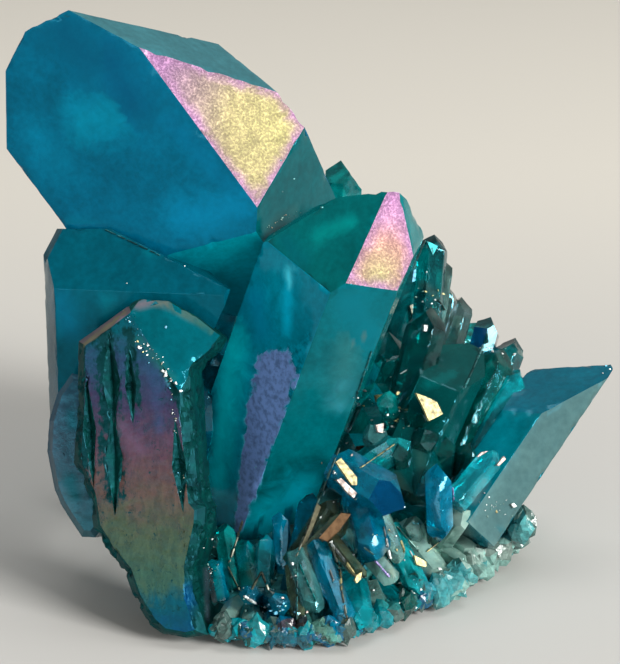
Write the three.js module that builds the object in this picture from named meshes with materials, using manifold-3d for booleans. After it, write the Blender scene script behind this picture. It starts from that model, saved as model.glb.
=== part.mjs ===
// Aqua aura quartz cluster: quartz crystals grown together on one lump of matrix, a single solid.
// Millimetres, +Z up, resting on its flat underside, origin at the middle of that underside.
import * as THREE from "three";
import { mergeVertices } from "three/addons/utils/BufferGeometryUtils.js";
import Module from "manifold-3d";

const wasm = await Module();
wasm.setup();

// Quartz habit: six prism faces 60 degrees apart, and above each a tip face at this tilt from the long axis.
const FACES = 6;
const TURN = 60;
const TIP_TILT = 51.8;
// Edge of the blocks that crystals are cut from and that planes cut with: larger than the whole cluster.
const BLOCK = 260;
// Corners of a geometry closer than this are one corner.
const MERGE = 1e-4;

// The large crystals. `at` is a point on the long axis, which leans from the vertical by `lean` degrees
// towards `bearing` (0 is +X, -90 is the front). `roll` turns the first prism face about the axis. `sides`
// are the six prism faces' distances from the axis, `tips` the heights above `at` where the six tip faces
// cross the axis, and `root` is how far the crystal runs below `at`. An `extra` face has its own tilt from
// the axis and turn about it, and lies at `reach` from `at`.
const GIANT = {
  at: [-13.5, 17.6, 46.9], lean: 42.9, bearing: -123, roll: 25.8, root: 24,
  sides: [14.5, 18.3, 19.1, 16, 16.9, 18.2],
  tips: [35, 42.6, 47.9, 60, 63.4, 72],
  extra: [
    { tilt: 79, turn: -174, reach: 18.1 },
    { tilt: 68, turn: -166, reach: 27.1 },
    { tilt: 97, turn: 131, reach: 14.1 },
  ],
};
const SPIRE = {
  at: [2.7, -6.8, 44], lean: 22.5, bearing: -37.4, roll: -96.4, root: 46,
  sides: [7.7, 8.5, 9.3, 10.1, 6.2, 11.6],
  tips: [16, 18.9, 24.1, 25.8, 19.4, 20.4],
};
const SHOULDER = {
  at: [-25, 1.5, 38], lean: 0, bearing: 0, roll: -98, root: 30,
  sides: [9.5, 17, 8.7, 11, 9.8, 14.4],
  tips: [19.7, 33, 36, 30, 32, 29.6],
  extra: [
    { tilt: 14, turn: -172, reach: 14.2 },
    { tilt: 26, turn: 116, reach: 11.6 },
    { tilt: 122, turn: -82, reach: 19.9 },
    { tilt: 114, turn: 105, reach: 7.9 },
  ],
};
// Broad dark column between them, its large tip face turned to the front.
const COLUMN = {
  at: [17.5, -4, 24.5], lean: 40, bearing: 50, roll: -152, root: 12,
  sides: [3.6, 4.6, 4.8, 5, 4.8, 4.6],
  tips: [9.5, 18, 22, 20, 17, 16.5],
};
const WING = {
  at: [34.1, 1.1, 22.2], lean: 47.9, bearing: 40, roll: -165, root: 20,
  sides: [4.7, 4.7, 5.5, 5.8, 5.6, 5.1],
  tips: [],
  extra: [
    { tilt: 63, turn: -11, reach: 3.8 },
    { tilt: 50, turn: 145, reach: 13.1 },
    { tilt: 39, turn: -117, reach: 10.2 },
  ],
};

// Smaller crystals, group by group: tip point, foot point, width across, turn of the first face.
const RIDGE = [
  // stepped skyline from the spire down to the wing
  [[19, 12, 49], [17.5, 6.5, 30], 4.5, 25],
  [[21, 12.5, 44.5], [18.5, 8, 30], 3.2, 5],
  [[22, 13.5, 40], [17.5, 7.5, 28], 3.6, 40],
  [[24, 15, 38], [20, 8.5, 25], 4.2, 15],
  [[28.5, 16, 34.5], [23, 8, 18], 4.6, 50],
  [[32.5, 15, 31.5], [26, 7, 16], 4.6, 30],
  // stub between the giant and the spire
  [[4.9, 16.5, 59.6], [4.3, 14.5, 44], 6.4, 50],
];
const THICKET = [
  // dark columns leaning with the wing
  [[30, 10.5, 30.5], [20, -3, 14.5], 6, 0],
  [[32.5, 8, 28], [22, -5.5, 13], 5, 40],
  [[18.5, 5, 39], [13, -5, 20], 6, 10],
  // stubs in front of the columns
  [[17.5, -8.5, 29.5], [14, -3, 20], 4.4, 15],
  [[11, -6.5, 29.5], [13.5, -2.5, 21], 3.2, 0],
  [[17, -10, 25], [16.5, -4, 15], 4, 35],
  [[9, -9.5, 25.5], [11, -6, 18], 3.4, 50],
  [[13, -12.5, 23.5], [14, -8, 16], 3, 20],
  [[20, -8.5, 23], [19.5, -5, 14], 4, 5],
  [[24, -5, 21], [22.5, -4, 13], 3.6, 30],
  // crystals lying forwards over the foot
  [[14.5, -10.5, 23.5], [4, -9, 16], 4.6, 10],
  [[13.2, -20.5, 17.2], [4, -12.5, 19.8], 6.2, 0],
  [[9.5, -24.5, 10.5], [7, -13, 16], 5.4, 30],
  [[12, -25.5, 7.5], [6, -17, 12], 3.6, 15],
  [[27.5, -9, 21], [21, -14.5, 15], 4, 20],
  [[15, -15.5, 13], [16.5, -9, 5], 3, 10],
  [[22.5, -13.5, 13.5], [20, -7, 6], 3.4, 40],
  [[25.5, -8.5, 15.5], [25, -3, 8], 3, 25],
];
const FRONT_FOOT = [
  // blades leaning against the spire's foot
  [[4, -14.5, 16], [-2.5, -17.5, 6.5], 3.6, 10],
  [[6, -17, 15], [-1.5, -19.5, 8], 3.2, 35],
  [[0.5, -11, 15.5], [-2.5, -19, 3], 4, 45],
  [[-4.5, -11.5, 12.5], [-3.5, -14.5, 3.5], 3, 20],
  [[-6.5, -11, 9], [-7, -18.5, 3], 3.2, 0],
  [[-10, -11.5, 8], [-8.5, -18.5, 2.5], 3, 30],
  [[-13, -8.5, 9.5], [-11, -16.5, 2], 3.4, 15],
  [[-14.5, -13.5, 6], [-13, -19, 1], 2.8, 50],
  // needles fanning down to the front edge
  [[5.5, -31, 3], [1, -19, 10.5], 3.2, 0],
  [[1, -29, 4.5], [-2, -19.5, 9.5], 3.4, 25],
  [[-1.5, -29.5, 3], [-2.5, -20, 7.5], 2.6, 40],
  [[7.5, -27.5, 9], [2, -16.5, 12], 2.8, 5],
  [[7, -30.5, 2.5], [6, -21, 6.5], 4.6, 25],
  [[-9, -28, 7], [-7, -18, 1.5], 3, 10],
  [[-4, -30.5, 6.5], [-6, -20, 2.5], 3.4, 45],
  [[-8.5, -31, 3], [-8, -20, 1.5], 3, 20],
  [[-5, -31.5, 2.5], [-5, -21, 2], 3.2, 5],
  [[-12.5, -29.5, 2.5], [-10.5, -19, 1], 3, 35],
  [[1, -32, 1.5], [0, -22, 2], 3, 15],
  [[4, -31, 1.6], [3, -21, 2], 2.8, 50],
  // blades along the right-hand front edge
  [[13, -19.5, 8], [10, -12, 13.5], 3, 5],
  [[16, -20.5, 3.5], [11.5, -12.5, 10.5], 3.4, 40],
  [[19.5, -16.5, 3.5], [13, -11, 10], 3.6, 15],
  [[13.5, -23.5, 2], [10, -16.5, 4], 3, 30],
  [[10.5, -26.5, 2], [9, -18, 3.5], 3.2, 10],
  [[17, -19.5, 1.8], [13, -13, 3], 3, 50],
  [[16, -20, 5.5], [12, -13, 4], 2.8, 20],
  [[21, -15, 2.2], [17, -9, 5], 3.2, 0],
  [[24, -12, 4], [18.5, -6, 5], 3, 35],
  [[25, -10, 5], [21, -4, 5.5], 3, 15],
  [[27.5, -9, 7], [23.5, -3, 7], 3, 45],
  [[31, -3, 6.5], [26, -1, 7], 3.4, 25],
];
const BACK = [
  [[19, 34, 39], [5, 18, 12], 12, 12],
  [[9, 45, 39], [2, 24, 10], 9, 40],
  [[-16, 46, 35], [-8, 24, 10], 13, 35],
  [[-5, 49, 21], [-2, 26, 8], 8, 0],
  [[28, 29, 29], [13, 16, 8], 8, 5],
  [[24, 38, 19], [10, 22, 7], 7, 20],
  [[-36, 25, 36], [-18, 14, 12], 11, 20],
  [[-31, 34, 21], [-14, 20, 8], 8, 15],
  [[37, 18, 19], [20, 10, 7], 6.5, 30],
  [[-30, 8, 9], [-16, 8, 6], 7, 40],
];
// A crystal with a tip at each end, lying against the wing's foot: upper tip, lower tip, width, turn.
const DOUBLE = [[18.5, -13.5, 21], [19, -16.5, 10], 4.2, 20];

// Matrix: lumps with these centres and half sizes, roughened and cut flat at the underside.
const LUMPS = [
  [[-3, 8, 3], [20, 17, 9]],
  [[-3, -13, -1], [16, 17.5, 5]],
  [[11, -5, 1], [11.5, 14, 6]],
  [[22, 8, 5], [12, 13, 8]],
  [[-2, 22, 12], [27, 19, 19]],
  [[-17, 11.5, 22], [12, 13.5, 20]],
  [[8, 14, 16], [14, 13, 16]],
  [[-1, 30, 23], [21, 15, 18]],
];
const LUMP_DETAIL = 3;
// Lump surface: height of the swells and crags as a share of the radius, swells round a lump along its x, y
// and z, and the steps by which the crags jump from corner to corner.
const ROUGHNESS = 0.07;
const SWELLS = [5.1, 6.3, 3];
const CRAGS = [71, 53, 37];

// Rough-faced plate at the front left. Its outline is drawn on its own face, from its lowest corner.
const PLATE = {
  corner: [-17.5, -31.8, 1.3], right: [0.987, -0.16, 0], up: [0.057, 0.35, 0.935], depth: 12, chamfer: 1.3,
  outline: [
    [0, 0], [-3.5, 0.5], [-5.5, 2], [-8, 5.5], [-9.5, 9], [-12, 11.5], [-14.5, 15], [-15.5, 19.5], [-18, 24],
    [-18, 33], [-18.5, 41.5], [-14, 45], [-11.5, 47], [-10, 48], [-6, 48], [-2, 46], [1.5, 43.5], [0.5, 41.5],
    [-2, 38.5], [-1, 29.5], [0.5, 20], [1.5, 19], [1.5, 16.5], [0.5, 10.5], [1, 6], [3, 1],
  ],
};
// Smooth facet at the plate's upper right: three points of it, on the plate's own axes.
const PLATE_FACET = [[-11, 46, 0], [-3, 35, 0], [1.5, 43.5, -4.5]];
// Spindle-shaped grooves down the plate's face: top, bottom, width, depth.
const GROOVES = [
  [[-13.8, 43], [-12.2, 29], 2.6, 1.5],
  [[-12.6, 33], [-11.2, 17], 2.4, 1.3],
  [[-10.8, 41], [-9.4, 30], 1.6, 1],
  [[-16.8, 37], [-14.6, 21], 1.8, 1.2],
  [[-3.4, 31], [-1.4, 18], 2, 1],
];
// Thinner plate at the far left, set back behind the first one.
const FLAKE = {
  corner: [-17.5, -31.8, 1.3], right: [0.987, -0.16, 0], up: [0.057, 0.35, 0.935], depth: 10, chamfer: 1,
  outline: [
    [-15, 13.5], [-17, 13.5], [-19, 16], [-20.5, 18], [-21.5, 20], [-23, 25.5], [-23, 30], [-22, 34],
    [-20, 37], [-15, 36], [-12, 30], [-12, 18],
  ],
};
const FLAKE_BACK = 3.5;

// Unevenness of the smaller crystals. Every second tip face starts lower down: how much higher than the tip
// the low and the high ones cross the axis, in half widths. Prism faces' distances, in half widths.
const LOW_TIPS = [0, 0.35];
const HIGH_TIPS = [0.5, 1.1];
const SIDES = [0.82, 1.08];

// Small crystals scattered over the sides and back of the matrix: how many, how long and wide, and the ranges
// of bearing and of height angle that they stand in. Their feet lie on an ellipsoid inside the matrix, each
// leans off the straight way out by a random share of its direction, and `seed` starts the draw.
const SMALL = {
  count: 84, length: [5, 10], width: [2, 3.8], bearings: [-20, 190], rise: [3, 68],
  centre: [0, 10, 4], halfSizes: [24, 22, 22], stray: 0.4, lift: 0.5, seed: 11,
};

const COATING = { color: 0x1f8fa6, roughness: 0.18, metalness: 0 };

const vec = (p) => new THREE.Vector3(...p);

// Closed three.js geometry to a solid that can be joined and cut.
function solidOf(geometry) {
  geometry.deleteAttribute("normal");
  geometry.deleteAttribute("uv");
  const merged = mergeVertices(geometry, MERGE);
  return new wasm.Manifold(new wasm.Mesh({
    numProp: 3,
    vertProperties: new Float32Array(merged.attributes.position.array),
    triVerts: new Uint32Array(merged.index.array),
  }));
}

function geometryOf(solid) {
  const mesh = solid.getMesh();
  const geometry = new THREE.BufferGeometry();
  geometry.setAttribute("position", new THREE.BufferAttribute(new Float32Array(mesh.vertProperties), 3));
  geometry.setIndex(new THREE.BufferAttribute(new Uint32Array(mesh.triVerts), 1));
  geometry.computeVertexNormals();
  return geometry;
}

// Everything beyond the plane through `point` with this outward `normal`.
function beyond(point, normal) {
  const block = new THREE.BoxGeometry(BLOCK, BLOCK, BLOCK);
  block.translate(0, 0, BLOCK / 2);
  const turn = new THREE.Quaternion().setFromUnitVectors(new THREE.Vector3(0, 0, 1), normal);
  block.applyQuaternion(turn);
  block.translate(point.x, point.y, point.z);
  return solidOf(block);
}

// Unit vector at `tilt` degrees from +Z, turned `around` degrees about it.
function direction(tilt, around) {
  const t = THREE.MathUtils.degToRad(tilt);
  const a = THREE.MathUtils.degToRad(around);
  return new THREE.Vector3(Math.sin(t) * Math.cos(a), Math.sin(t) * Math.sin(a), Math.cos(t));
}

// A quartz crystal from its face distances: a block cut by its prism faces, tip faces and extra faces.
function crystal({ at, lean, bearing, roll, root, sides, tips, extra = [], foot = [] }) {
  const toWorld = new THREE.Matrix4().makeRotationZ(THREE.MathUtils.degToRad(bearing));
  toWorld.multiply(new THREE.Matrix4().makeRotationY(THREE.MathUtils.degToRad(lean)));
  toWorld.multiply(new THREE.Matrix4().makeRotationZ(THREE.MathUtils.degToRad(roll)));
  toWorld.setPosition(...at);
  const block = new THREE.BoxGeometry(BLOCK / 2, BLOCK / 2, BLOCK / 2);
  block.translate(0, 0, BLOCK / 4 - root);
  block.applyMatrix4(toWorld);
  let solid = solidOf(block);
  const cut = (localPoint, localNormal) => {
    const point = localPoint.clone().applyMatrix4(toWorld);
    solid = solid.subtract(beyond(point, localNormal.clone().transformDirection(toWorld)));
  };
  sides.forEach((distance, k) => {
    const normal = direction(90, k * TURN);
    cut(normal.clone().multiplyScalar(distance), normal);
  });
  tips.forEach((height, k) => cut(new THREE.Vector3(0, 0, height), direction(TIP_TILT, k * TURN)));
  extra.forEach(({ tilt, turn, reach }) => {
    const normal = direction(tilt, turn);
    cut(normal.clone().multiplyScalar(reach), normal);
  });
  foot.forEach((depth, k) => cut(new THREE.Vector3(0, 0, -depth), direction(180 - TIP_TILT, k * TURN)));
  return solid;
}

// Repeatable draw of numbers between 0 and 1, by a linear congruential generator of 32 bits.
function drawer(seed) {
  const range = 2 ** 32;
  const factor = 1664525;
  const step = 1013904223;
  let state = seed;
  return () => {
    state = (state * factor + step) % range;
    return state / range;
  };
}

const draw = drawer(SMALL.seed);
const between = (low, high) => low + (high - low) * draw();

// A smaller crystal from tip to foot, its faces a little uneven, as they grow.
function finger([tip, foot, width, roll], doubleEnded = false) {
  const axis = vec(tip).sub(vec(foot));
  const length = axis.length();
  axis.normalize();
  const half = width / 2;
  const tipHeight = (_, k) => length + half * between(...(k % 2 ? HIGH_TIPS : LOW_TIPS));
  const tips = Array.from({ length: FACES }, tipHeight);
  return crystal({
    at: foot,
    lean: THREE.MathUtils.radToDeg(Math.acos(axis.z)),
    bearing: THREE.MathUtils.radToDeg(Math.atan2(axis.y, axis.x)),
    roll,
    root: doubleEnded ? half : 0,
    sides: Array.from({ length: FACES }, () => half * between(...SIDES)),
    tips,
    foot: doubleEnded ? tips.map((height) => height - length) : [],
  });
}

// Uneven broken lump, from a sphere whose radius swells slowly and jumps from corner to corner.
function lump([centre, halfSizes], index) {
  const geometry = new THREE.IcosahedronGeometry(1, LUMP_DETAIL);
  const position = geometry.attributes.position;
  const point = new THREE.Vector3();
  for (let i = 0; i < position.count; i += 1) {
    point.fromBufferAttribute(position, i);
    const swell = Math.sin(SWELLS[0] * point.x + 2 * index);
    const roll = Math.sin(SWELLS[1] * point.y + SWELLS[2] * point.z - index);
    const crag = Math.sin(vec(CRAGS).dot(point) + index);
    point.multiplyScalar(1 + ROUGHNESS * (swell + roll + crag)).multiply(vec(halfSizes)).add(vec(centre));
    position.setXYZ(i, point.x, point.y, point.z);
  }
  return solidOf(geometry);
}

// Matrix that takes a plate's own axes (right, up, outward) to the cluster's.
function plateMatrix({ corner, right, up }, back = 0) {
  const x = vec(right).normalize();
  const outward = new THREE.Vector3().crossVectors(x, vec(up)).normalize();
  const y = new THREE.Vector3().crossVectors(outward, x);
  const matrix = new THREE.Matrix4().makeBasis(x, y, outward);
  return matrix.setPosition(vec(corner).addScaledVector(outward, -back));
}

// Plate with a chamfered rim, its outer face on the plane of its outline.
function plate(spec, back = 0) {
  const shape = new THREE.Shape(spec.outline.map(([u, v]) => new THREE.Vector2(u, v)));
  const geometry = new THREE.ExtrudeGeometry(shape, {
    depth: spec.depth - 2 * spec.chamfer,
    bevelEnabled: true,
    bevelThickness: spec.chamfer,
    bevelSize: spec.chamfer,
    bevelOffset: -spec.chamfer,
    bevelSegments: 1,
  });
  geometry.translate(0, 0, spec.chamfer - spec.depth);
  geometry.applyMatrix4(plateMatrix(spec, back));
  return solidOf(geometry);
}

// Groove along the plate's face, deepest halfway down.
function groove([top, bottom, width, depth]) {
  const run = new THREE.Vector2(top[0] - bottom[0], top[1] - bottom[1]);
  const geometry = new THREE.OctahedronGeometry(1);
  geometry.scale(width / 2, run.length() / 2, depth);
  geometry.rotateZ(run.angle() - Math.PI / 2);
  geometry.translate((top[0] + bottom[0]) / 2, (top[1] + bottom[1]) / 2, 0);
  geometry.applyMatrix4(plateMatrix(PLATE));
  return solidOf(geometry);
}

function roughPlate() {
  const [a, b, c] = PLATE_FACET.map((p) => vec(p).applyMatrix4(plateMatrix(PLATE)));
  const normal = new THREE.Vector3().crossVectors(b.clone().sub(a), c.clone().sub(a)).normalize();
  let solid = plate(PLATE).subtract(beyond(a, normal));
  GROOVES.forEach((line) => {
    solid = solid.subtract(groove(line));
  });
  return solid;
}

// Small crystals on the matrix, fanning outwards and mostly upwards.
function smallCrystals() {
  const fingers = [];
  for (let i = 0; i < SMALL.count; i += 1) {
    const out = direction(90 - between(...SMALL.rise), between(...SMALL.bearings));
    const foot = out.clone().multiply(vec(SMALL.halfSizes)).add(vec(SMALL.centre));
    const sideways = () => between(-SMALL.stray, SMALL.stray);
    const lean = new THREE.Vector3(sideways(), sideways(), between(0, SMALL.lift));
    const tip = foot.clone().addScaledVector(out.add(lean).normalize(), between(...SMALL.length));
    fingers.push(finger([tip.toArray(), foot.toArray(), between(...SMALL.width), between(0, TURN)]));
  }
  return fingers;
}

const pieces = [
  ...LUMPS.map(lump),
  crystal(GIANT),
  crystal(SPIRE),
  crystal(SHOULDER),
  crystal(WING),
  crystal(COLUMN),
  roughPlate(),
  plate(FLAKE, FLAKE_BACK),
  ...[...RIDGE, ...THICKET, ...FRONT_FOOT, ...BACK].map((spec) => finger(spec)),
  finger(DOUBLE, true),
  ...smallCrystals(),
];
const joined = pieces.reduce((whole, piece) => whole.add(piece));
const standing = joined.subtract(beyond(new THREE.Vector3(0, 0, 0), new THREE.Vector3(0, 0, -1)));

const geometry = geometryOf(standing);
geometry.computeBoundingBox();
const middle = geometry.boundingBox.getCenter(new THREE.Vector3());
geometry.translate(-middle.x, -middle.y, 0);

const cluster = new THREE.Mesh(geometry, new THREE.MeshStandardMaterial(COATING));
cluster.name = "quartz_cluster";

const part = new THREE.Group();
part.add(cluster);
export default part;
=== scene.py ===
"""Aqua aura quartz cluster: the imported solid, dressed as coated quartz. Blender 4.5.

Lengths are in millimetres in the part's own frame, and `MM` turns them into metres. Places that were measured
on the photograph are pixels of its 620 x 664 frame: the camera's line of sight through such a pixel meets the
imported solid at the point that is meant, so every mark lies on the crystal that carries it.
"""

import math
import random

import bmesh
import bpy
import numpy as np
from mathutils import Matrix, Vector, noise
from mathutils.bvhtree import BVHTree


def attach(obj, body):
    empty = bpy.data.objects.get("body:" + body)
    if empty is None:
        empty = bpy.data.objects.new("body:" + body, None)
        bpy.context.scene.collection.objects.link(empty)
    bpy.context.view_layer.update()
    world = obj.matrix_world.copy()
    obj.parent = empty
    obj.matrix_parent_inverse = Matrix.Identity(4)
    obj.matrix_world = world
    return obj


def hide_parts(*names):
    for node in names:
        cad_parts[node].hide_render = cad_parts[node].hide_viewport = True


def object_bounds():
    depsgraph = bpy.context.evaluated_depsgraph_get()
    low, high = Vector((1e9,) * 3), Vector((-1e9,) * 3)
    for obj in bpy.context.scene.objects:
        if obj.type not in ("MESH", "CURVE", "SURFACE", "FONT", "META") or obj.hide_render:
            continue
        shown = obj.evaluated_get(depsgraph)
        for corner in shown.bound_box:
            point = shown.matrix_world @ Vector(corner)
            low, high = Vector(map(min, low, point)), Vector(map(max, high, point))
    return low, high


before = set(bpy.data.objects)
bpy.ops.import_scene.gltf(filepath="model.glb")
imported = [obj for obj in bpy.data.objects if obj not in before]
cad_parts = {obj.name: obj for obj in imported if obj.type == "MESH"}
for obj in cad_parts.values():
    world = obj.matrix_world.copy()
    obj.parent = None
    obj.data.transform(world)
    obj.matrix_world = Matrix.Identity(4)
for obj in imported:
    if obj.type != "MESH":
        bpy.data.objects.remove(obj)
cad_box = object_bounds()

MM = 0.001

# Camera: place and target, and focal length in pixels of the photograph.
PHOTO_SIZE = (620, 664)
CAMERA_AT = (-1.16, -295.65, 124.7)
CAMERA_TARGET = (-1.16, -8.75, 37.0)
FOCAL_PIXELS = 2000.0
SENSOR = 36.0

# Lights: the way to each from the middle of the cluster, and its size, power and colour.
KEY_TOWARD = (0.70, -0.59, 0.39)
LIGHTS = {
    "key": (KEY_TOWARD, (760, 700), 56.5, (1.0, 0.98, 0.95)),
    "fill": ((-0.4, -0.9, 0.1), (1500, 900), 14.0, (1.0, 1.0, 1.0)),
    "top": ((0.1, 0.2, 1.0), (1400, 1200), 13.0, (1.0, 1.0, 1.0)),
}
LIGHT_TARGET = (0, 0, 40)
LIGHT_DISTANCE = 2000
SKY_COLOR = (0.82, 0.80, 0.76, 1)
SKY_STRENGTH = 0.36

# Floor: half its side, and its colours at the cluster and from `FLOOR_WARM_FROM` behind it. The colours are
# painted light: darker and cooler at the cluster, lighter and warmer far behind.
FLOOR_HALF = 3000
FLOOR_COOL = (0.575, 0.57, 0.55)
FLOOR_WARM = (0.745, 0.715, 0.645)
FLOOR_WARM_FROM = 300.0

# Colours are linear red, green and blue. The names are what the stone looks like there.
COLORS = {
    "deep": (0.0, 0.17, 0.33),
    "blue": (0.0, 0.32, 0.52),
    "teal": (0.0, 0.46, 0.54),
    "cyan": (0.01, 0.68, 0.74),
    "green": (0.0, 0.36, 0.35),
    "dark green": (0.0, 0.115, 0.1),
    "dim": (0.0, 0.22, 0.24),
    "grey": (0.09, 0.4, 0.41),
    "smoke": (0.11, 0.22, 0.2),
    "pale": (0.29, 0.56, 0.5),
    "beige": (0.48, 0.5, 0.38),
    "brown": (0.15, 0.2, 0.12),
    "sand": (0.2, 0.19, 0.12),
    "clay": (0.21, 0.12, 0.06),
    "rust": (0.12, 0.03, 0.015),
    "gold": (0.86, 0.74, 0.34),
    "white": (0.85, 0.92, 0.9),
    "sky": (0.15, 0.62, 0.9),
    "violet": (0.52, 0.43, 0.9),
    "rose": (0.8, 0.64, 0.58),
}

# Large crystals: a pixel on each, its colour, and how clear and how glossy it is.
LARGE = {
    "giant": ((120, 150), (0.0, 0.155, 0.28), 0.45, 0.0),
    "spire": ((340, 400), (0.0, 0.24, 0.26), 0.45, 0.0),
    "shoulder": ((90, 260), (0.0, 0.11, 0.165), 0.4, 0.0),
    "flake": ((60, 450), (0.025, 0.1, 0.145), 0.1, 0.0),
    "wing": ((560, 430), (0.0, 0.18, 0.235), 0.4, 0.0),
    "column": ((450, 350), (0.0, 0.065, 0.062), 0.4, 0.0),
    "front finger": ((370, 490), (0.0, 0.23, 0.38), 0.6, 0.6),
    "double": ((440, 510), (0.0, 0.26, 0.44), 0.6, 0.6),
}
# Small crystals: the colour, and a pixel on each crystal that has it.
SMALL = {
    "dark green": [
        (418, 350), (420, 412), (486, 392), (402, 458), (424, 440), (448, 456), (464, 456), (356, 416),
    ],
    "green": [(384, 358), (390, 368), (342, 180), (368, 412), (410, 512), (228, 554), (246, 562), (388, 408)],
    "dim": [(430, 276), (404, 308), (486, 334), (514, 352)],
    "teal": [(266, 562), (252, 622), (360, 600), (396, 600), (500, 402), (218, 582), (476, 478), (334, 628)],
    "cyan": [(384, 450), (412, 570)],
    "blue": [(332, 584), (368, 534), (276, 602), (280, 538), (300, 522)],
    "grey": [(372, 434), (306, 580), (328, 496), (314, 630)],
    "smoke": [(452, 312), (462, 322), (448, 290)],
    "pale": [(416, 528), (396, 542), (380, 568), (380, 604)],
    "brown": [(332, 528), (346, 558), (294, 600), (316, 522)],
}

# How clear a small crystal is, from and to.
SMALL_CLEAR = (0.6, 0.85)

# Crystals that are broken and grown over like the matrix: a pixel on each.
BROKEN = [(456, 530), (468, 546), (456, 560), (446, 574), (428, 562), (418, 598), (252, 622), (228, 616)]
# How much they look like matrix, how clear both are, and their colours. Right of `PALE_FROM` the matrix has
# the colour of the broken crystals.
BROKEN_ROCK = 0.45
BROKEN_CLEAR = 0.4
MATRIX_CLEAR = 0.2
BROKEN_COLOR = (0.29, 0.5, 0.44)
ROCK_COLOR = (0.04, 0.23, 0.23)
PALE_FROM = 14.0

# Single faces: a pixel on each, its colour and its finish. A frosted face is matt, and a dim or frosted one
# lets little through.
FACES = [
    ((160, 35), (0.035, 0.145, 0.17), "frost"),
    ((290, 190), (0.0, 0.08, 0.09), "dim"),
    ((210, 255), (0.0, 0.33, 0.41), "clear"),
    ((320, 250), (0.0, 0.165, 0.17), "clear"),
    ((410, 240), (0.01, 0.12, 0.15), "frost"),
    ((280, 400), (0.0, 0.35, 0.51), "clear"),
    ((340, 430), (0.0, 0.165, 0.195), "clear"),
    ((560, 425), (0.068, 0.13, 0.125), "frost"),
    ((570, 380), (0.0, 0.15, 0.23), "clear"),
    ((150, 325), (0.0, 0.12, 0.155), "clear"),
    ((90, 335), (0.15, 0.085, 0.17), "frost"),
    ((386, 497), (0.0, 0.065, 0.18), "clear"),
    ((121, 317), (0.11, 0.085, 0.1), "frost"),
    ((45, 300), (0.0, 0.08, 0.13), "clear"),
    ((472, 340), (0.0, 0.05, 0.17), "frost"),
]
# How much of its crystal's clearness such a face keeps, and what the plate, which isn't clear, counts as.
CLEAR_SHARE = {"clear": 1.0, "dim": 0.3, "frost": 0.3}
PLATE_CLEAR = 0.4
# The two gilt faces, whose colours are a painted iridescent sheen where they mirror the key light: a pixel at
# the golden spot of each, the millimetres from there to the far end, and the colours on the way.
GILT_SHEEN = [
    ((284, 132), 25.0, [
        (0.0, (0.56, 0.5, 0.21)), (0.35, (0.54, 0.46, 0.22)), (0.5, (0.46, 0.35, 0.27)),
        (0.68, (0.41, 0.26, 0.32)), (0.85, (0.36, 0.17, 0.36)), (1.0, (0.3, 0.12, 0.36)),
    ]),
    ((379, 277), 12.0, [
        (0.0, (0.46, 0.42, 0.19)), (0.2, (0.56, 0.4, 0.24)), (0.45, (0.6, 0.33, 0.27)),
        (0.7, (0.58, 0.3, 0.44)), (1.0, (0.56, 0.25, 0.5)),
    ]),
]
# The rim of a gilt face, part of the painted sheen: its colour, that of its very edge, a painted highlight,
# and its width.
GILT_SHEEN_RIM_COLOR = (0.42, 0.22, 0.38)
GILT_SHEEN_EDGE_COLOR = (0.62, 0.42, 0.62)
GILT_RIM = 2.4

# Measures that every face carries, from 0 to 1.
FINISHES = ("clear", "gloss", "gilt", "frost", "rock", "plate")

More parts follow.
